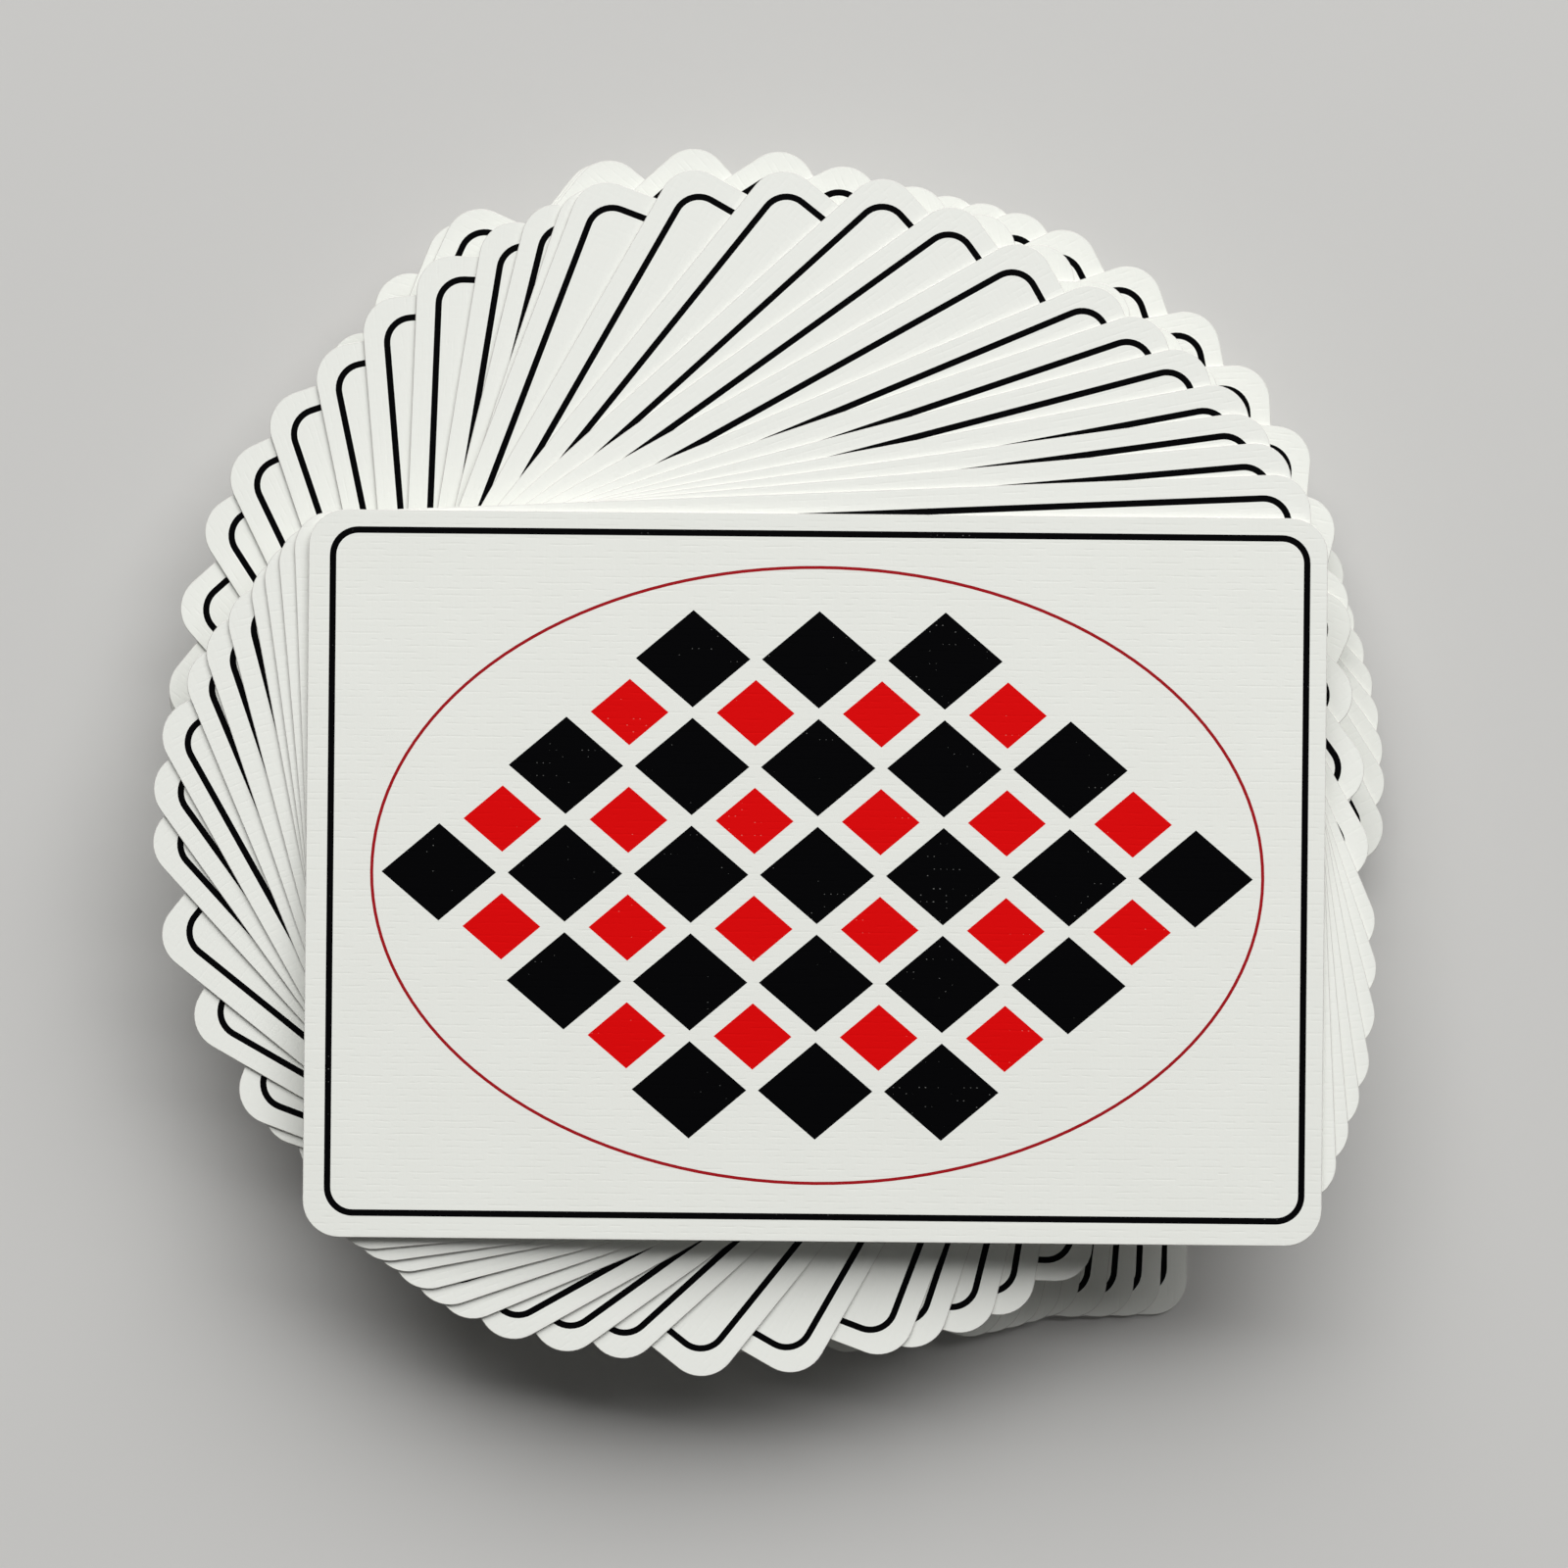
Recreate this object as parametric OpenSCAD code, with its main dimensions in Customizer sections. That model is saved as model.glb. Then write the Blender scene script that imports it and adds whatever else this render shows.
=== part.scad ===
// Deck of playing cards, twisted into a spiral fan with the backs up.
// Sizes are in millimetres. The origin is the middle of the bottom card's underside,
// X runs along the top card's long side and Z points up from the table.

/* [Card] */
// Long side of a card
card_length = 88.9; // [86:0.1:90]
// Short side of a card
card_width = 63.5; // [56:0.5:64]
// Thickness of the coated card stock
card_thickness = 0.29; // [0.24:0.01:0.34]
// Radius of the rounded corners
corner_radius = 3.2; // [2:0.1:6]

/* [Fan] */
// How far the deck is twisted open: 0 is squared up, 1 is three quarters of a turn
spread = 1; // [0:0.05:1.3]
// How far the cards slid off one common axis while they were twisted: 0 is not at all
drift = 1; // [0:0.1:1.5]
// Air left between neighbouring cards
air_gap = 0.01; // [0.01:0.01:0.1]

/* [Colour] */
// Colour of the card stock
stock_colour = "ivory"; // [ivory, white, linen, snow]

/* [Hidden] */
$fn = 64;

// Runs of cards below the top card that turn on by like steps: [cards, degrees from card to card]
turn_runs = [
    [1, 0],
    [4, 2.8],
    [3, 4],
    [3, 6.5],
    [3, 9],
    [1, 2.5],
    [2, 4.5],
    [6, 7],
    [2, 9],
    [2, 0.5],
    [1, 13.8],
    [1, 2.5],
    [1, 8],
    [5, 8.2],
    [1, 5],
    [5, 3.6],
    [2, 5.25],
    [2, 6.5],
    [8, 2]
];
turn_steps = [for (run = turn_runs) for (card = [1 : run[0]]) run[1]];

// Where the middle of a card lies once the fan has turned so far: [degrees, x, y]
drift_stops = [
    [0, -3, -4],
    [3, -3, -2],
    [12, -3.5, 0.5],
    [23, -6, 2.5],
    [30, -7.5, 3.5],
    [42, -8.5, 5.5],
    [52, -9.5, 5],
    [70, -9.5, 5.5],
    [74, -8, 5.5],
    [90, -8.5, 5.5],
    [102, -8, 5.5],
    [116, -8.5, 6.5],
    [125, -8, 7.5],
    [156, -7.5, 9.5],
    [175, -5.5, 9],
    [207, -4.5, 7],
    [230, -5.5, 5.5],
    [241, -4.5, 5.5],
    [254, -4.5, 4.5],
    [262, -4, 3.5],
    [270, 0, 0]
];
x_stops = [for (stop = drift_stops) [stop[0], stop[1]]];
y_stops = [for (stop = drift_stops) [stop[0], stop[2]]];

card_count = len(turn_steps) + 1;
pitch = card_thickness + air_gap;

// Degrees from the top card's direction to a card's, counter-clockwise from above
function turn_of(number) = number <= 1 ? 0 : turn_of(number - 1) + turn_steps[number - 2];

// The same turn with the deck twisted only as far as the spread says
function spread_turn(number) = turn_of(card_count) - spread * (turn_of(card_count) - turn_of(number));

// Place of a card's middle on the table, and the height of its underside
function middle_x(number) = spread * drift * lookup(turn_of(number), x_stops);
function middle_y(number) = spread * drift * lookup(turn_of(number), y_stops);
function underside(number) = (card_count - number) * pitch;

// Cards are numbered from the top of the deck
function card_name(number) = str("card_", number < 10 ? "0" : "", number);

// Outline of a card about its middle, with the long side along X
module card_outline() {
    square([card_length, card_width - 2 * corner_radius], center = true);
    square([card_length - 2 * corner_radius, card_width], center = true);
    for (x = [-1, 1], y = [-1, 1])
        translate([x * (card_length / 2 - corner_radius), y * (card_width / 2 - corner_radius)])
            circle(r = corner_radius);
}

// One card, lying in its place in the fan
module card(number) {
    color(stock_colour)
        translate([middle_x(number), middle_y(number), underside(number)])
            rotate([0, 0, spread_turn(number)])
                linear_extrude(height = card_thickness)
                    card_outline();
}

for (number = [1 : card_count])
    card(number);
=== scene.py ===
"""Looks of a deck of playing cards that lies twisted into a spiral fan, with the backs up.

Each card of the frame is replaced by a closed mesh of the same size with a rolled, die-cut edge. The
back and the face are cut into printed regions, each with a finish of its own, and every finish is
embossed with the fine linen weave of a coated card. Sizes of the print are in millimetres, and the
scene is in metres.
"""

import logging
import math
import random
from collections.abc import Callable, Iterable, Iterator
from dataclasses import dataclass, field
from enum import Enum

import bpy
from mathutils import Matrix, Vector
from mathutils.geometry import delaunay_2d_cdt


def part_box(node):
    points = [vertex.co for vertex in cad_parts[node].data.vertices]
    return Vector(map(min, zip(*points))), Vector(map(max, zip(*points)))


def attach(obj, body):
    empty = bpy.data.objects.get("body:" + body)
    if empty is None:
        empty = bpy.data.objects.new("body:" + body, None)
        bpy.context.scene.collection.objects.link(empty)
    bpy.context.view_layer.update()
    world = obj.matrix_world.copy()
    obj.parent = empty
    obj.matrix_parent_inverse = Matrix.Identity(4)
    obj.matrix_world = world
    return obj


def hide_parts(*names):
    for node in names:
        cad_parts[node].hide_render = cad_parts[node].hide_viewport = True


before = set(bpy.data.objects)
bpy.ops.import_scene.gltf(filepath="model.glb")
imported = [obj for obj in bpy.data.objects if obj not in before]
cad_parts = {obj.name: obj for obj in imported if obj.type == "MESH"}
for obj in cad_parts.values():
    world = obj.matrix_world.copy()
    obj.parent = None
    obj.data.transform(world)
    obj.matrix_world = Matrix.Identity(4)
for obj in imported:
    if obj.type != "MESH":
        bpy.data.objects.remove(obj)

Point = tuple[float, float]
Outline = list[Point]
Point3 = tuple[float, float, float]
Colour = tuple[float, float, float]

LOG = logging.getLogger("deck")
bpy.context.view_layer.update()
MM = 0.001
CARD_MAP = "card_mm"


class Ink(Enum):
    """What a face of a card can wear, in the order of the material slots."""

    STOCK = 0
    CUT_EDGE = 1
    BLACK = 2
    RED = 3
    OXBLOOD = 4


class Suit(Enum):
    """The four suits of a standard deck."""

    SPADES = "spades"
    HEARTS = "hearts"
    CLUBS = "clubs"
    DIAMONDS = "diamonds"

    @property
    def ink(self) -> Ink:
        """The ink that the suit is printed in."""
        return Ink.RED if self in (Suit.HEARTS, Suit.DIAMONDS) else Ink.BLACK


class Rank(Enum):
    """The ranks of a suit, with the sign that stands in the card's corners."""

    ACE = "A"
    TWO = "2"
    THREE = "3"
    FOUR = "4"
    FIVE = "5"
    SIX = "6"
    SEVEN = "7"
    EIGHT = "8"
    NINE = "9"
    TEN = "10"
    JACK = "J"
    QUEEN = "Q"
    KING = "K"


CardFace = tuple[Suit | None, Rank | None, Ink]


class Handling(Enum):
    """How closely a card's surface is finished: a top card's tones vary, and the rest are even."""

    TOP = "top"
    FAN = "fan"


def arc(centre: Point, radius: float, start: float, sweep: float, steps: int) -> Outline:
    """Points along a circular arc.

    Args:
        centre: Centre of the arc.
        radius: Radius of the arc.
        start: Angle of the first point, in degrees.
        sweep: Degrees from the first point to the last.
        steps: Number of chords.

    Returns:
        The points, both ends included.
    """
    angles = [math.radians(start + sweep * step / steps) for step in range(steps + 1)]
    return [(centre[0] + radius * math.cos(a), centre[1] + radius * math.sin(a)) for a in angles]


def rounded_rectangle(length: float, width: float, radius: float, steps: int = 10) -> Outline:
    """A rectangle about the origin with rounded corners, counter-clockwise.

    Args:
        length: Size along X.
        width: Size along Y.
        radius: Radius of the corners.
        steps: Chords in each corner.

    Returns:
        The points of the outline.
    """
    x, y = length / 2 - radius, width / 2 - radius
    corners = ((x, y), (-x, y), (-x, -y), (x, -y))
    return [p for i, c in enumerate(corners) for p in arc(c, radius, 90 * i, 90, steps)]


def ellipse(half_length: float, half_width: float, steps: int = 144) -> Outline:
    """An ellipse about the origin, given by its half axes."""
    return [(x * half_length, y * half_width) for x, y in arc((0, 0), 1, 0, 360, steps)[:-1]]


def lozenge(centre: Point, half_length: float, half_width: float) -> Outline:
    """A lozenge about a point, given by its half diagonals."""
    x, y = centre
    return [(x + half_length, y), (x, y + half_width), (x - half_length, y), (x, y - half_width)]


def placed(outline: Outline, size: float, at: Point, upside_down: bool = False) -> Outline:
    """An outline of unit size, scaled and moved into its place.

    Args:
        outline: Points about the origin.
        size: Scale in millimetres.
        at: Where the origin goes.
        upside_down: Whether the outline is turned half round first.

    Returns:
        The moved points.
    """
    scale = -size if upside_down else size
    return [(at[0] + scale * x, at[1] + scale * y) for x, y in outline]


class PrintSheet:
    """One side of a card, cut into regions of ink. A later one covers an earlier one.

    Every outline runs counter-clockwise.
    """

    # The triangulation's setting that keeps only what lies inside a region, and its welding distance
    INSIDE_REGIONS = 1
    WELD = 1e-5

    def __init__(self, outline: Outline) -> None:
        """Starts with bare stock.

        Args:
            outline: The rim of the side.
        """
        self.rim = len(outline)
        self.points: Outline = []
        self.regions: list[list[int]] = []
        self.inks: list[Ink] = []
        self.paint(outline, Ink.STOCK)

    def paint(self, outline: Outline, ink: Ink) -> None:
        """Covers the inside of an outline with one ink.

        Args:
            outline: Points of the region.
            ink: What it is covered with.
        """
        first = len(self.points)
        self.points += outline
        self.regions.append(list(range(first, len(self.points))))
        self.inks.append(ink)

    def paint_band(self, outer: Outline, inner: Outline, ink: Ink) -> None:
        """Covers the band between two outlines, on bare stock."""
        self.paint(outer, ink)
        self.paint(inner, Ink.STOCK)

    def cut(self) -> tuple[Outline, dict[int, int], list[tuple[list[int], Ink]]]:
        """Cuts the side into triangles of one ink each.

        Returns:
            The points, those that lie on the rim as {point: place along the rim}, and the triangles.
        """
        flat = [Vector(p) for p in self.points]
        points, _, faces, from_points, _, from_regions = delaunay_2d_cdt(
            flat, [], self.regions, self.INSIDE_REGIONS, self.WELD)
        on_rim = {i: min(ids) for i, ids in enumerate(from_points) if ids and min(ids) < self.rim}
        inked = [(face, self.inks[max(ids)])
                 for face, ids in zip(faces, from_regions, strict=True) if ids]
        return [tuple(p) for p in points], on_rim, inked


def seen_directly(tree: bpy.types.NodeTree) -> bpy.types.NodeSocket:
    """A socket that is 1 for what the eye sees, also in a mirror or through glass, and 0 for light.

    Args:
        tree: The nodes of a material or a world.

    Returns:
        The socket.
    """
    path = tree.nodes.new("ShaderNodeLightPath")
    seen = path.outputs["Is Camera Ray"]
    for ray in ("Is Glossy Ray", "Is Transmission Ray"):
        either = tree.nodes.new("ShaderNodeMath")
        either.operation = "MAXIMUM"
        tree.links.new(seen, either.inputs[0])
        tree.links.new(path.outputs[ray], either.inputs[1])
        seen = either.outputs[0]
    return seen


class NodeBench:
    """Makes and links the nodes of one material."""

    # Numbers of the sockets with which a Mix node mixes colours
    MIX_SHARE, MIX_LOW, MIX_HIGH, MIX_RESULT = 0, 6, 7, 2

    def __init__(self, name: str) -> None:
        """Starts a material with a lone Principled shader.

        Args:
            name: Name of the material.
        """
        self.material = bpy.data.materials.new(name)
        self.material.use_nodes = True
        self.tree = self.material.node_tree
        self.shader = self.tree.nodes["Principled BSDF"]

    def add(self, kind: str, settings: dict[str, object] | None = None,
            **values: object) -> bpy.types.Node:
        """Adds a node.

        Args:
            kind: Blender's name of the node, without the ShaderNode in front.
            settings: Properties of the node itself.
            values: Input values by socket name, with _ for a space. A socket is linked.

        Returns:
            The new node.
        """
        node = self.tree.nodes.new("ShaderNode" + kind)
        for name, value in (settings or {}).items():
            setattr(node, name, value)
        for name, value in values.items():
            self.set(node, name.replace("_", " "), value)
        return node

    def set(self, node: bpy.types.Node, place: str | int, value: object) -> None:
        """Gives an input of a node a value, or links it to a socket.

        Args:
            node: The node.
            place: Name or number of the input.
            value: The value, or the socket that gives it.
        """
        if isinstance(value, bpy.types.NodeSocket):
            self.tree.links.new(value, node.inputs[place])
        else:
            node.inputs[place].default_value = value

    def math(self, operation: str, *terms: object) -> bpy.types.NodeSocket:
        """Combines numbers and sockets with one Math node.

        Args:
            operation: Blender's name of the operation.
            terms: The numbers and sockets, in order.

        Returns:
            The socket that gives the result.
        """
        node = self.add("Math", {"operation": operation})
        for place, term in enumerate(terms):
            self.set(node, place, term)
        return node.outputs[0]

    def blend(self, share: bpy.types.NodeSocket, low: Colour, high: Colour) -> bpy.types.NodeSocket:
        """A colour that goes from low to high as a varying share goes from 0 to 1.

        Args:
            share: The socket that gives the share.
            low: Colour at 0.
            high: Colour at 1.

        Returns:
            The socket that gives the colour.
        """
        node = self.add("Mix", {"data_type": "RGBA"})
        self.set(node, self.MIX_SHARE, share)
        self.set(node, self.MIX_LOW, (*low, 1))
        self.set(node, self.MIX_HIGH, (*high, 1))
        return node.outputs[self.MIX_RESULT]

    def card_plane(self) -> bpy.types.NodeSocket:
        """The place on the card in millimetres, along its own sides."""
        return self.add("UVMap", {"uv_map": CARD_MAP}).outputs["UV"]


class Thread(Enum):
    """The two sets of threads in the weave, named by the axis along which they are counted."""

    ROW = "Y"
    COLUMN = "X"


@dataclass(frozen=True)
class LinenWeave:
    """The weave that is pressed into the coating: rows of short dents, crossed by shallower columns."""

    pitch: float = 0.56
    depth: float = 0.007
    waviness: float = 1.0
    wave_detail: float = 2.0
    wave_detail_scale: float = 0.5
    row_narrowness: float = 5.0
    column_narrowness: float = 2.0
    dent_length: float = 1.2
    dent_start: float = 0.40
    dent_full: float = 0.66
    dent_detail: float = 2.0
    column_share: float = 0.3

    # Radians that a Wave texture runs through in one unit, at a scale of 1
    WAVE_RATE = 20

    def grooves(self, bench: NodeBench, thread: Thread) -> bpy.types.NodeSocket:
        """Narrow grooves one pitch apart.

        Args:
            bench: The material that is being made.
            thread: Which way the grooves run.

        Returns:
            The socket that gives the depth, from 0 between the grooves to 1 along their bottoms.
        """
        wave = bench.add("TexWave", {"bands_direction": thread.value}, Vector=bench.card_plane(),
                         Scale=2 * math.pi / (self.WAVE_RATE * self.pitch), Distortion=self.waviness,
                         Detail=self.wave_detail, Detail_Scale=self.wave_detail_scale)
        narrow = self.row_narrowness if thread is Thread.ROW else self.column_narrowness
        return bench.math("POWER", wave.outputs["Fac"], narrow)

    def dents(self, bench: NodeBench, thread: Thread) -> bpy.types.NodeSocket:
        """The grooves, broken into short dents with plain stretches between them.

        Args:
            bench: The material that is being made.
            thread: Which grooves are broken.

        Returns:
            The socket that gives the depth, from 0 to 1.
        """
        along, across = 1 / self.dent_length, 1 / self.pitch
        stretch = (along, across, 1.0) if thread is Thread.ROW else (across, along, 1.0)
        spots = bench.add("Mapping", Vector=bench.card_plane(), Scale=stretch)
        noise = bench.add("TexNoise", Vector=spots.outputs[0], Scale=1.0, Detail=self.dent_detail)
        pressed = bench.add("MapRange", {"interpolation_type": "SMOOTHSTEP"},
                            Value=noise.outputs["Fac"],
                            From_Min=self.dent_start, From_Max=self.dent_full)
        return bench.math("MULTIPLY", self.grooves(bench, thread), pressed.outputs["Result"])

    def press(self, bench: NodeBench) -> bpy.types.NodeSocket:
        """Embosses the material with the weave.

        Args:
            bench: The material that is being made.

        Returns:
            The depth of the rows, for finishes whose colour follows it.
        """
        rows = self.dents(bench, Thread.ROW)
        crossed = bench.math("MULTIPLY_ADD", self.dents(bench, Thread.COLUMN), self.column_share, rows)
        bump = bench.add("Bump", {"invert": True}, Distance=self.depth * MM, Height=crossed)
        bench.set(bench.shader, "Normal", bump.outputs["Normal"])
        return rows


@dataclass(frozen=True)
class CoatedFinish:
    """Paper or ink under the clear, satin coating of the card."""

    name: str
    colour: Colour
    # Second colour, blended in on the top card: for stock, cloudy tone and painted shade in the dents;
    # for inks, light specks
    shade: Colour
    roughness: float = 0.5
    specular: float = 0.35
    speckled: bool = False
    # Cut-off for the light specks in ink, which are partly bare ink and partly painted glints
    speck_threshold: float = 0.50
    weave: LinenWeave = LinenWeave()
    dent_roughness: float = 0.12
    dent_shade: float = 0.5
    cloud_scale: float = 0.12
    cloud_detail: float = 4.0
    cloud_roughness: float = 0.6
    patch_scale: float = 0.14
    patch_detail: float = 2.0

    def material(self, handling: Handling) -> bpy.types.Material:
        """Makes the finish for one kind of card.

        Args:
            handling: How closely the surface is finished.

        Returns:
            The new material.
        """
        bench = NodeBench(f"{self.name}_{handling.value}")
        dents = self.weave.press(bench)
        bench.set(bench.shader, "Specular IOR Level", self.specular)
        if handling is Handling.TOP:
            # On the top card the stock gets painted shade in its dents, and the inks get light specks
            # that are partly painted glints
            share = self.specks(bench, dents) if self.speckled else self.mottling_and_dent_shade(bench, dents)
            bench.set(bench.shader, "Base Color", bench.blend(share, self.colour, self.shade))
            rough = bench.math("MULTIPLY_ADD", dents, self.dent_roughness, self.roughness)
            bench.set(bench.shader, "Roughness", rough)
        else:
            bench.set(bench.shader, "Base Color", (*self.colour, 1))
            bench.set(bench.shader, "Roughness", self.roughness)
        return bench.material

    def mottling_and_dent_shade(self, bench: NodeBench, dents: bpy.types.NodeSocket) -> bpy.types.NodeSocket:
        """The slight unevenness of white stock: cloudy fibres, and painted shade that darkens the
        dents.

        Args:
            bench: The material that is being made.
            dents: Depth of the weave's rows.

        Returns:
            The socket that gives the share of the shade.
        """
        clouds = bench.add("TexNoise", Vector=bench.card_plane(), Scale=self.cloud_scale,
                           Detail=self.cloud_detail, Roughness=self.cloud_roughness)
        # Painted shade: the weave's dents are darkened in the stock's colour
        shaded = bench.math("MULTIPLY_ADD", dents, self.dent_shade, 1 - self.dent_shade)
        return bench.math("MULTIPLY", clouds.outputs["Fac"], shaded)

    def specks(self, bench: NodeBench, dents: bpy.types.NodeSocket) -> bpy.types.NodeSocket:
        """Fine light specks in solid ink, here and there where the weave's dents cross its columns.

        Args:
            bench: The material that is being made.
            dents: Depth of the weave's rows.

        Returns:
            The socket that is 1 on a speck and 0 elsewhere.
        """
        # The specks are partly bare ink and partly painted glints of the weave
        patches = bench.add("TexNoise", Vector=bench.card_plane(), Scale=self.patch_scale,
                            Detail=self.patch_detail)
        crossings = bench.math("MULTIPLY", dents, self.weave.grooves(bench, Thread.COLUMN))
        share = bench.math("MULTIPLY", patches.outputs["Fac"], crossings)
        return bench.math("GREATER_THAN", share, self.speck_threshold)


@dataclass(frozen=True)
class CutEdgeFinish:
    """The raw core of the stock, which shows where the die cut through it."""

    name: str = "cut_edge"
    colour: Colour = (0.60, 0.59, 0.56)
    roughness: float = 0.75
    fibre: float = 0.05
    fibre_depth: float = 0.01
    fibre_detail: float = 2.0

    def material(self) -> bpy.types.Material:
        """Makes the finish, with a bump of torn fibres.

        Returns:
            The new material.
        """
        bench = NodeBench(self.name)
        grain = bench.add("TexNoise", Vector=bench.card_plane(), Scale=1 / self.fibre,
                          Detail=self.fibre_detail)
        bump = bench.add("Bump", Distance=self.fibre_depth * MM, Height=grain.outputs["Fac"])
        bench.set(bench.shader, "Normal", bump.outputs["Normal"])
        bench.set(bench.shader, "Base Color", (*self.colour, 1))
        bench.set(bench.shader, "Roughness", self.roughness)
        return bench.material


# The second colour of each: for stock, cloudy tone with painted shade in the dents; for inks, light
# specks, partly painted glints
STOCK = CoatedFinish("stock", (0.80, 0.81, 0.765), (0.735, 0.745, 0.695))
BLACK_INK = CoatedFinish("black_ink", (0.0012, 0.0012, 0.0015), (0.15, 0.15, 0.145), 0.6, 0.015, True)
RED_INK = CoatedFinish("red_ink", (0.68, 0.0015, 0.002), (0.72, 0.14, 0.12), 0.6, 0.05, True)
OXBLOOD_INK = CoatedFinish("oxblood_ink", (0.33, 0.008, 0.012), (0.38, 0.06, 0.06), 0.6, 0.05, True)


class FinishBook:
    """The finishes of a card, made once for each kind of handling."""

    def __init__(self) -> None:
        """Makes every finish."""
        edge = CutEdgeFinish().material()
        coated = {Ink.STOCK: STOCK, Ink.BLACK: BLACK_INK, Ink.RED: RED_INK, Ink.OXBLOOD: OXBLOOD_INK}
        self.sets = {
            handling: [edge if ink is Ink.CUT_EDGE else coated[ink].material(handling) for ink in Ink]
            for handling in Handling
        }


@dataclass
class BackPrint:
    """The back: a rounded frame line round an oval of harlequin lozenges, the same from both ends."""

    margin: float = 1.68
    line_width: float = 0.57
    line_radius: float = 2.5
    oval: Point = (39.0, 27.0)
    hairline: float = 0.28
    lattice: Point = (11.0, 9.4)
    lattice_reach: Point = (35.5, 23.0)
    lattice_steps: int = 5
    black_offset: float = 0.0
    black_reach: float = 1.0
    black_half: Point = (5.0, 4.25)
    red_offset: float = 0.5
    red_reach: float = 0.9
    red_half: Point = (3.4, 2.9)

    def draw(self, sheet: PrintSheet, length: float, width: float, shift: Point) -> None:
        """Prints the back on a sheet.

        Args:
            sheet: The upper side of the card.
            length: Long side of the card.
            width: Short side of the card.
            shift: How far the print lies off the middle of the card.
        """
        def band(line: float) -> Outline:
            """The outer side of the frame line, drawn in.

            Args:
                line: How far it is drawn in.

            Returns:
                The points of the outline.
            """
            inset = self.margin + line
            flat = rounded_rectangle(length - 2 * inset, width - 2 * inset, self.line_radius - line)
            return placed(flat, 1, shift)

        sheet.paint_band(band(0), band(self.line_width), Ink.BLACK)
        outer = ellipse(*self.oval)
        inner = ellipse(self.oval[0] - self.hairline, self.oval[1] - self.hairline)
        sheet.paint_band(placed(outer, 1, shift), placed(inner, 1, shift), Ink.OXBLOOD)
        for centre in self.lattice_points(self.black_offset, self.black_reach):
            sheet.paint(placed(lozenge(centre, *self.black_half), 1, shift), Ink.BLACK)
        for centre in self.lattice_points(self.red_offset, self.red_reach):
            sheet.paint(placed(lozenge(centre, *self.red_half), 1, shift), Ink.RED)

    def lattice_points(self, offset: float, reach: float) -> Iterator[Point]:
        """The points of the lattice that lie inside the oval.

        Args:
            offset: Share of a lattice step by which the points are moved along both ways.
            reach: Share of the lattice's reach that is filled.

        Yields:
            The points.
        """
        steps = range(-self.lattice_steps, self.lattice_steps)
        for i in steps:
            for j in steps:
                x, y = self.lattice[0] * (i + offset), self.lattice[1] * (j + offset)
                if math.hypot(x / self.lattice_reach[0], y / self.lattice_reach[1]) <= reach:
                    yield x, y


def stem() -> Outline:
    """The flared foot of a spade or a club."""
    return [(-0.03, 0.05), (-0.05, -0.28), (-0.17, -0.5), (0.17, -0.5), (0.05, -0.28), (0.03, 0.05)]


def heart_curve() -> Outline:
    """A heart of unit height about its middle.

    Returns:
        The points of the outline.
    """
    # The curve below is 29 units high, and its middle lies 2.5 units under the origin.
    steps, height, sag = 40, 29, 2.5
    turns = [2 * math.pi * step / steps for step in range(steps)]
    lobes = [(16 * math.sin(t) ** 3, 13 * math.cos(t) - 5 * math.cos(2 * t)
              - 2 * math.cos(3 * t) - math.cos(4 * t)) for t in turns]
    return [(x / height, (y + sag) / height) for x, y in reversed(lobes)]


def heart() -> list[Outline]:
    """The pip of hearts."""
    return [heart_curve()]


def diamond() -> list[Outline]:
    """The pip of diamonds, with sides that bow in a little.

    Returns:
        The outline of the pip.
    """
    steps, bow = 6, 0.12
    corners = [(0.0, -0.5), (0.4, 0.0), (0.0, 0.5), (-0.4, 0.0)]
    outline: Outline = []
    for (ax, ay), (bx, by) in zip(corners, corners[1:] + corners[:1]):
        for step in range(steps):
            t = step / steps
            waist = 1 - bow * math.sin(math.pi * t)
            outline.append(((ax + (bx - ax) * t) * waist, (ay + (by - ay) * t) * waist))
    return [outline]


def spade() -> list[Outline]:
    """The pip of spades: a heart on its head, with a foot.

    Returns:
        The outlines of the pip.
    """
    wide, tall, lift = 0.92, 0.84, 0.08
    leaf = [(wide * x, lift - tall * y) for x, y in reversed(heart_curve())]
    return [leaf, stem()]


def club() -> list[Outline]:
    """The pip of clubs: three leaves round a middle, and a foot.

    Returns:
        The outlines of the pip.
    """
    radius, steps = 0.225, 24
    centres = ((0.0, 0.27), (-0.24, -0.08), (0.24, -0.08))
    leaves = [arc(centre, radius, 0, 360, steps)[:-1] for centre in centres]
    middle = [(-0.12, -0.02), (0.12, -0.02), (0.06, 0.2), (-0.06, 0.2)]
    return [*leaves, middle, stem()]


def star() -> list[Outline]:
    """A five-pointed star, the sign of the jokers.

    Returns:
        The outline of the star.
    """
    points, tip, notch = 5, 0.5, 0.2
    outline: Outline = []
    for step in range(2 * points):
        reach = notch if step % 2 else tip
        turn = math.radians(90 + 180 / points * step)
        outline.append((reach * math.cos(turn), reach * math.sin(turn)))
    return [outline]


def crown(spikes: int) -> list[Outline]:
    """A plain crown over a band.

    Args:
        spikes: Number of spikes.

    Returns:
        The outlines of the crown and the band.
    """
    side, notch, tip = 0.5, 0.02, 0.36
    zigzag: Outline = []
    for spike in range(spikes):
        right = side - spike / spikes
        zigzag += [(right, notch), (right - side / spikes, tip)]
    body = [(-side, -0.22), (side, -0.22), *zigzag, (-side, notch)]
    band = [(-side, -0.42), (side, -0.42), (side, -0.3), (-side, -0.3)]
    return [body, band]


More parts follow.
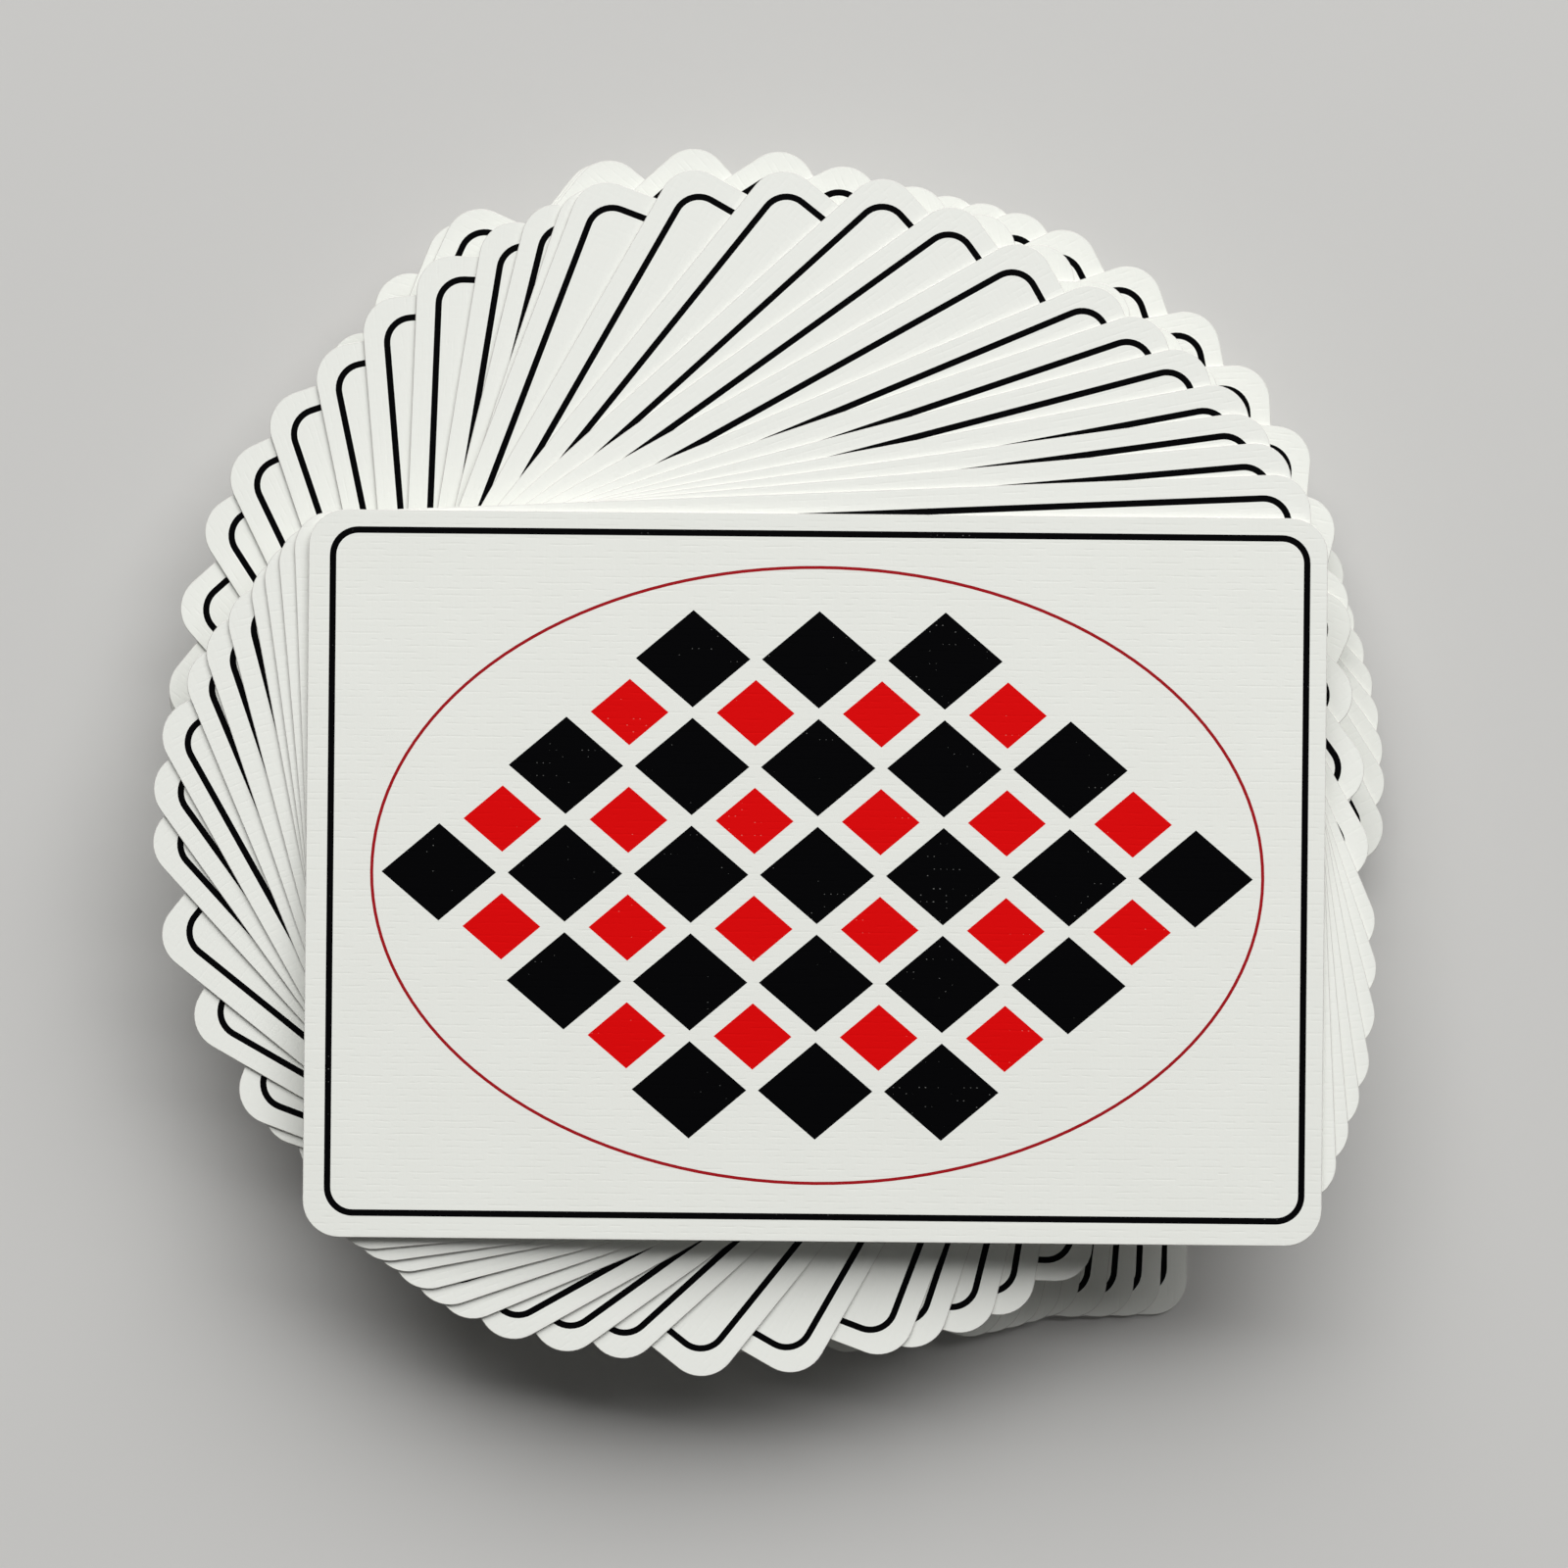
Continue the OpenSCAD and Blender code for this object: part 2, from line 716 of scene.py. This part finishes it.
PIPS: dict[Suit, Callable[[], list[Outline]]] = {
    Suit.SPADES: spade, Suit.HEARTS: heart, Suit.CLUBS: club, Suit.DIAMONDS: diamond,
}
SPIKES = {Rank.JACK: 3, Rank.QUEEN: 5, Rank.KING: 7}
# Chords in each curve of the type, and the area under which a triangle of it is left out
SIGN_STEPS = 3
SLIVER = 1e-6


def lettering(text: str) -> list[Outline]:
    """The triangles of a sign in the plain built-in type, one unit high, about its middle.

    Args:
        text: The sign.

    Returns:
        The triangles, without those that have no area.
    """
    curve = bpy.data.curves.new("corner_sign", "FONT")
    curve.body = text
    curve.resolution_u = SIGN_STEPS
    holder = bpy.data.objects.new("corner_sign", curve)
    mesh = bpy.data.meshes.new_from_object(holder)
    spots = [(v.co.x, v.co.y) for v in mesh.vertices]
    lows = [min(p[axis] for p in spots) for axis in (0, 1)]
    highs = [max(p[axis] for p in spots) for axis in (0, 1)]
    middle = [(low + high) / 2 for low, high in zip(lows, highs)]
    tall = highs[1] - lows[1]
    faces = [[((spots[v][0] - middle[0]) / tall, (spots[v][1] - middle[1]) / tall)
              for v in face.vertices] for face in mesh.polygons if face.area > SLIVER]
    bpy.data.meshes.remove(mesh)
    bpy.data.objects.remove(holder)
    bpy.data.curves.remove(curve)
    return faces


def from_below(outline: Outline) -> Outline:
    """An upright outline with its axes swapped for the under side, still counter-clockwise."""
    return [(y, x) for x, y in reversed(outline)]


@dataclass
class FacePrint:
    """The face of a card, in upright coordinates: X to the right and Y up as it is held in the hand."""

    pip: float = 12.5
    column: float = 13.0
    row: float = 27.0
    ace_pip: float = 20.0
    sign: float = 6.6
    sign_at: Point = (-26.6, 37.0)
    small_pip: float = 5.4
    small_pip_at: Point = (-26.6, 29.0)
    joker_star: float = 34.0
    court_frame: Point = (40.0, 66.0)
    court_line: float = 0.4
    court_radius: float = 1.2
    court_corner_steps: int = 4
    court_crown: float = 19.0
    court_crown_at: Point = (0, 21.0)
    court_pip: float = 11.0
    court_pip_at: Point = (0, 7.5)
    signs: dict[str, list[Outline]] = field(default_factory=dict)

    # Rows of the pips by the number of the card, as shares of the way from the middle to the end
    SIDE_ROWS = {4: (1,), 5: (1,), 6: (1, 0), 7: (1, 0), 8: (1, 0), 9: (1, 1 / 3), 10: (1, 1 / 3)}
    MIDDLE_ROWS = {
        2: (1, -1), 3: (1, 0, -1), 5: (0,), 7: (0.5,), 8: (0.5, -0.5), 9: (0,), 10: (2 / 3, -2 / 3),
    }

    def draw(self, sheet: PrintSheet, suit: Suit | None, rank: Rank | None, ink: Ink) -> None:
        """Prints a face on a sheet.

        Args:
            sheet: The under side of the card.
            suit: The suit, or None for a joker.
            rank: The rank, or None for a joker.
            ink: The ink of the suit, or of the joker.
        """
        if suit is None or rank is None:
            self.stamp(sheet, star(), self.joker_star, (0, 0), ink)
            self.both_ends(sheet, star(), self.small_pip, self.sign_at, ink)
            return
        pip = PIPS[suit]()
        self.both_ends(sheet, self.sign_of(rank), self.sign, self.sign_at, ink)
        self.both_ends(sheet, pip, self.small_pip, self.small_pip_at, ink)
        if rank in SPIKES:
            self.draw_court(sheet, pip, SPIKES[rank], ink)
        elif rank is Rank.ACE:
            self.stamp(sheet, pip, self.ace_pip, (0, 0), ink)
        else:
            self.draw_pips(sheet, pip, int(rank.value), ink)

    def draw_pips(self, sheet: PrintSheet, pip: list[Outline], count: int, ink: Ink) -> None:
        """Sets out the pips of a number card in three columns, the lower half upside down.

        Args:
            sheet: The under side of the card.
            pip: The outlines of the pip.
            count: How many there are.
            ink: The ink of the suit.
        """
        places = [(side, row) for row in self.SIDE_ROWS.get(count, ()) for side in (-1, 1)]
        places += [(side, -row) for side, row in places if row]
        places += [(0, row) for row in self.MIDDLE_ROWS.get(count, ())]
        for column, row in places:
            spot = (self.column * column, self.row * row)
            self.stamp(sheet, pip, self.pip, spot, ink, row < 0)

    def draw_court(self, sheet: PrintSheet, pip: list[Outline], spikes: int, ink: Ink) -> None:
        """Draws a court card as a framed crown over its pip, the same from both ends.

        Args:
            sheet: The under side of the card.
            pip: The outlines of the pip.
            spikes: Spikes of the crown.
            ink: The ink of the suit.
        """
        (width, length), line, steps = self.court_frame, self.court_line, self.court_corner_steps
        outer = rounded_rectangle(width, length, self.court_radius, steps)
        inner = rounded_rectangle(width - 2 * line, length - 2 * line, self.court_radius - line, steps)
        sheet.paint_band(from_below(outer), from_below(inner), Ink.BLACK)
        self.both_ends(sheet, crown(spikes), self.court_crown, self.court_crown_at, Ink.RED)
        self.both_ends(sheet, pip, self.court_pip, self.court_pip_at, ink)

    def sign_of(self, rank: Rank) -> list[Outline]:
        """The corner sign of a rank, made once.

        Args:
            rank: The rank.

        Returns:
            The triangles of the sign.
        """
        if rank.value not in self.signs:
            self.signs[rank.value] = lettering(rank.value)
        return self.signs[rank.value]

    def both_ends(self, sheet: PrintSheet, shape: list[Outline], size: float, at: Point,
                  ink: Ink) -> None:
        """Prints a shape at one end of the card and, turned half round, at the other."""
        self.stamp(sheet, shape, size, at, ink)
        self.stamp(sheet, shape, size, (-at[0], -at[1]), ink, True)

    def stamp(self, sheet: PrintSheet, shape: list[Outline], size: float, at: Point, ink: Ink,
              upside_down: bool = False) -> None:
        """Prints a shape once, as the face is seen from below."""
        for outline in shape:
            sheet.paint(from_below(placed(outline, size, at, upside_down)), ink)


@dataclass(frozen=True)
class Place:
    """Where a card lies in the frame: its middle, its turn in radians, and its size, all in metres."""

    x: float
    y: float
    low: float
    high: float
    turn: float
    length: float
    width: float

    # A face whose normal rises less than this is a side wall
    WALL_RISE = 0.5
    # Keeps a turn of a right angle from jumping between 90 and -90 degrees
    TURN_SLACK = 1e-6

    @classmethod
    def of_node(cls, node: str) -> "Place":
        """Reads the place of a card from its node. Its longest side wall shows how far it is turned.

        Args:
            node: Name of the node.

        Returns:
            The place of the card.
        """
        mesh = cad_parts[node].data
        low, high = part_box(node)
        walls = [face for face in mesh.polygons if abs(face.normal.z) < cls.WALL_RISE]
        long_wall = max(walls, key=lambda face: face.area)
        turn = math.atan2(-long_wall.normal.x, long_wall.normal.y)
        # The card looks the same after half a turn, so the angle is brought between -90 and 90 degrees.
        quarter = math.pi / 2 - cls.TURN_SLACK
        turn = (turn + quarter) % math.pi - quarter
        x, y = (low.x + high.x) / 2, (low.y + high.y) / 2
        along = [(v.co.x - x) * math.cos(turn) + (v.co.y - y) * math.sin(turn) for v in mesh.vertices]
        across = [(v.co.y - y) * math.cos(turn) - (v.co.x - x) * math.sin(turn) for v in mesh.vertices]
        return cls(x, y, low.z, high.z, turn, max(along) - min(along), max(across) - min(across))

    def to_frame(self, point: Point, height: float) -> Point3:
        """Takes a point of the card into the frame.

        Args:
            point: Millimetres from the card's middle, along its sides.
            height: Height in the frame, in metres.

        Returns:
            The point of the frame.
        """
        x, y = point[0] * MM, point[1] * MM
        c, s = math.cos(self.turn), math.sin(self.turn)
        return self.x + c * x - s * y, self.y + s * x + c * y, height


@dataclass
class Card:
    """One card: a closed plate with a rolled edge, printed on both sides."""

    node: str
    place: Place
    suit: Suit | None
    rank: Rank | None
    ink: Ink
    handling: Handling
    shift: Point
    corner_radius: float = 3.2
    back_roll: float = 0.07
    face_roll: float = 0.04
    roll_steps: int = 3

    def profile(self) -> Outline:
        """The section of the edge.

        Returns:
            Points from the face up to the back, as (inset in millimetres, height in metres).
        """
        def roll(radius: float) -> Outline:
            """A quarter round from the cut edge to the flat side, as (inset, depth under that side)."""
            quarter = arc((0, 0), radius, 0, 90, self.roll_steps)
            return [(radius - x, radius - y) for x, y in quarter]

        lower = [(inset, self.place.low + rise * MM) for inset, rise in reversed(roll(self.face_roll))]
        upper = [(inset, self.place.high - drop * MM) for inset, drop in roll(self.back_roll)]
        return lower + upper

    def rim(self, inset: float) -> Outline:
        """The outline of the card, drawn in by an inset."""
        length, width = self.place.length / MM - 2 * inset, self.place.width / MM - 2 * inset
        return rounded_rectangle(length, width, self.corner_radius - inset)

    def build(self, back: BackPrint, face: FacePrint) -> bpy.types.Object:
        """Builds the card's mesh in its place in the frame.

        Args:
            back: The print of the upper side.
            face: The print of the under side.

        Returns:
            The new object, with no materials yet.
        """
        flat: Outline = []
        corners: list[Point3] = []
        faces: list[list[int]] = []
        inks: list[Ink] = []

        def add(point: Point, height: float) -> int:
            """Adds a point of the card.

            Args:
                point: Its place on the card, in millimetres.
                height: Its height in the frame, in metres.

            Returns:
                The number of the point.
            """
            flat.append(point)
            corners.append(self.place.to_frame(point, height))
            return len(corners) - 1

        profile = self.profile()
        rings = [[add(p, height) for p in self.rim(inset)] for inset, height in profile]
        for low, high in zip(rings, rings[1:]):
            for i in range(len(low)):
                j = (i + 1) % len(low)
                faces.append([low[i], low[j], high[j], high[i]])
                inks.append(Ink.CUT_EDGE)
        edge_faces = len(faces)

        sides = ((rings[0], profile[0], False), (rings[-1], profile[-1], True))
        for ring, (inset, height), upper in sides:
            sheet = PrintSheet(self.rim(inset))
            if upper:
                back.draw(sheet, self.place.length / MM, self.place.width / MM, self.shift)
            else:
                face.draw(sheet, self.suit, self.rank, self.ink)
            points, on_rim, triangles = sheet.cut()
            index = [ring[on_rim[i]] if i in on_rim else add(p, height) for i, p in enumerate(points)]
            for triangle, ink in triangles:
                turned = [index[i] for i in triangle]
                faces.append(turned if upper else turned[::-1])
                inks.append(ink)
        return self.to_object(corners, faces, inks, flat, edge_faces)

    def to_object(self, corners: list[Point3], faces: list[list[int]], inks: list[Ink],
                  flat: Outline, edge_faces: int) -> bpy.types.Object:
        """Makes the object from its corners and faces, with a map of the card in millimetres.

        Args:
            corners: Points in the frame.
            faces: Corners of each face.
            inks: Finish of each face.
            flat: The same points on the plane of the card, in millimetres.
            edge_faces: How many faces, from the first, belong to the smooth edge.

        Returns:
            The new object.
        """
        mesh = bpy.data.meshes.new(f"{self.node}_print")
        mesh.from_pydata(corners, [], faces)
        mesh.polygons.foreach_set("material_index", [ink.value for ink in inks])
        mesh.polygons.foreach_set("use_smooth", [i < edge_faces for i in range(len(faces))])
        plane = mesh.uv_layers.new(name=CARD_MAP)
        plane.uv.foreach_set("vector", [c for loop in mesh.loops for c in flat[loop.vertex_index]])
        mesh.validate()
        mesh.update()
        card = bpy.data.objects.new(f"{self.node}_printed", mesh)
        bpy.context.scene.collection.objects.link(card)
        return card

    def dress(self, card: bpy.types.Object, finishes: FinishBook) -> None:
        """Gives the card its finishes and puts it in the place of its node.

        Args:
            card: The card's object.
            finishes: The finishes of the deck.
        """
        for material in finishes.sets[self.handling]:
            card.data.materials.append(material)
        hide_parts(self.node)
        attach(card, self.node)


class Deck:
    """The cards of the frame, numbered from the top, with the faces of a full deck and two jokers."""

    # How far the top card's print lies off its middle, and how far the others' may, in millimetres
    TOP_SHIFT: Point = (0.17, 0.2)
    PRINT_PLAY = 0.15
    # How many cards, from the top, are finished closely
    CLOSE_UP = 2
    SEED = 54

    def __init__(self) -> None:
        """Hands each node of the frame its place and its face."""
        draws = random.Random(self.SEED)
        faces: list[CardFace] = [(None, None, Ink.RED), (None, None, Ink.BLACK)]
        faces += [(suit, rank, suit.ink) for suit in Suit for rank in Rank]
        draws.shuffle(faces)
        self.cards: list[Card] = []
        for number, node in enumerate(sorted(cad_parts)):
            play = (draws.uniform(-1, 1) * self.PRINT_PLAY, draws.uniform(-1, 1) * self.PRINT_PLAY)
            handling = Handling.TOP if number < self.CLOSE_UP else Handling.FAN
            shift = self.TOP_SHIFT if number == 0 else play
            self.cards.append(Card(node, Place.of_node(node), *faces[number], handling, shift))

    def build(self) -> None:
        """Builds, prints and dresses every card."""
        finishes, back, face = FinishBook(), BackPrint(), FacePrint()
        for card in self.cards:
            piece = card.build(back, face)
            card.dress(piece, finishes)
            LOG.info("%s: turned %.0f degrees, %d faces", piece.name, math.degrees(card.place.turn),
                     len(piece.data.polygons))


@dataclass
class Studio:
    """A pale floor, one wide lamp over the far side, an even fill, and a camera straight above.

    Sizes are in metres, angles in degrees and the lamp's power in watts.
    """

    floor_size: float = 6.0
    floor_drop: float = 0.02 * MM
    floor_colour: Colour = (0.58, 0.575, 0.56)
    floor_roughness: float = 0.8
    floor_specular: float = 0.2
    fade_start: float = 0.15
    backdrop: Colour = (0.72, 0.715, 0.70)
    fill: float = 0.06
    lamp_reach: float = 3.0
    lamp_size: Point = (4.8, 2.2)
    lamp_power: float = 172.0
    lamp_elevation: float = 43.0
    lamp_azimuth: float = 80.0
    eye: Point3 = (-0.0058, 0.00415, 0.2962)
    eye_roll: float = 0.55
    view_width: float = 0.13675
    view_distance: float = 0.280
    clip_start: float = 0.01

    def build(self) -> None:
        """Sets up the floor, the light and the camera."""
        self.lay_floor()
        self.light_world()
        self.hang_lamp()
        self.set_camera()
        bpy.context.scene.view_settings.view_transform = "Standard"

    def lay_floor(self) -> None:
        """Lays a plain pale floor just under the bottom card."""
        half = self.floor_size / 2
        mesh = bpy.data.meshes.new("floor")
        corners = ((-half, -half), (half, -half), (half, half), (-half, half))
        mesh.from_pydata([(x, y, -self.floor_drop) for x, y in corners], [], [[0, 1, 2, 3]])
        bench = NodeBench("floor_paper")
        bench.set(bench.shader, "Base Color", (*self.floor_colour, 1))
        bench.set(bench.shader, "Roughness", self.floor_roughness)
        bench.set(bench.shader, "Specular IOR Level", self.floor_specular)
        self.fade_floor(bench)
        mesh.materials.append(bench.material)
        floor = bpy.data.objects.new("floor", mesh)
        bpy.context.scene.collection.objects.link(floor)

    def fade_floor(self, bench: NodeBench) -> None:
        """Lets the floor fade into the backdrop away from the deck, for the eye but not for light.

        Args:
            bench: The floor's material.
        """
        away = bench.add("VectorMath", {"operation": "LENGTH"})
        bench.set(away, 0, bench.add("TexCoord").outputs["Object"])
        near = bench.math("DIVIDE", self.fade_start, away.outputs["Value"])
        share = bench.math("MAXIMUM", bench.math("SUBTRACT", 1.0, near), 0.0)
        faded = bench.math("MULTIPLY", share, seen_directly(bench.tree))
        shown = bench.add("Emission", Color=(*self.backdrop, 1))
        mix = bench.add("MixShader", Fac=faded)
        bench.set(mix, 1, bench.shader.outputs[0])
        bench.set(mix, 2, shown.outputs[0])
        bench.set(bench.tree.nodes["Material Output"], "Surface", mix.outputs[0])

    def light_world(self) -> None:
        """Fills the scene with even light, and shows a pale backdrop to the eye and to reflections."""
        world = bpy.data.worlds.new("studio")
        bpy.context.scene.world = world
        world.use_nodes = True
        tree = world.node_tree
        light = tree.nodes["Background"]
        light.inputs["Color"].default_value = (1, 1, 1, 1)
        light.inputs["Strength"].default_value = self.fill
        shown = tree.nodes.new("ShaderNodeBackground")
        shown.inputs["Color"].default_value = (*self.backdrop, 1)
        mix = tree.nodes.new("ShaderNodeMixShader")
        tree.links.new(seen_directly(tree), mix.inputs["Fac"])
        tree.links.new(light.outputs[0], mix.inputs[1])
        tree.links.new(shown.outputs[0], mix.inputs[2])
        tree.links.new(mix.outputs[0], tree.nodes["World Output"].inputs["Surface"])

    def hang_lamp(self) -> None:
        """Hangs a wide soft lamp over the far side of the deck."""
        lamp = bpy.data.lights.new("soft_key", "AREA")
        lamp.shape = "RECTANGLE"
        lamp.size, lamp.size_y = self.lamp_size
        lamp.energy = self.lamp_power
        rise, heading = math.radians(self.lamp_elevation), math.radians(self.lamp_azimuth)
        level = math.cos(rise)
        way = Vector((level * math.cos(heading), level * math.sin(heading), math.sin(rise)))
        holder = bpy.data.objects.new("soft_key", lamp)
        holder.location = way * self.lamp_reach
        holder.rotation_euler = (-way).to_track_quat("-Z", "Y").to_euler()
        bpy.context.scene.collection.objects.link(holder)

    def set_camera(self) -> None:
        """Looks straight down on the deck, with the view's width taken at the top card's level."""
        camera = bpy.data.cameras.new("overhead")
        camera.angle = 2 * math.atan(self.view_width / 2 / self.view_distance)
        camera.clip_start = self.clip_start
        holder = bpy.data.objects.new("overhead", camera)
        holder.location = self.eye
        holder.rotation_euler = (0, 0, math.radians(self.eye_roll))
        bpy.context.scene.collection.objects.link(holder)
        bpy.context.scene.camera = holder


def main() -> None:
    """Builds the deck and its studio, in order."""
    logging.basicConfig(level=logging.INFO, format="%(name)s: %(message)s")
    Studio().build()
    Deck().build()


if __name__ == "__main__":
    main()
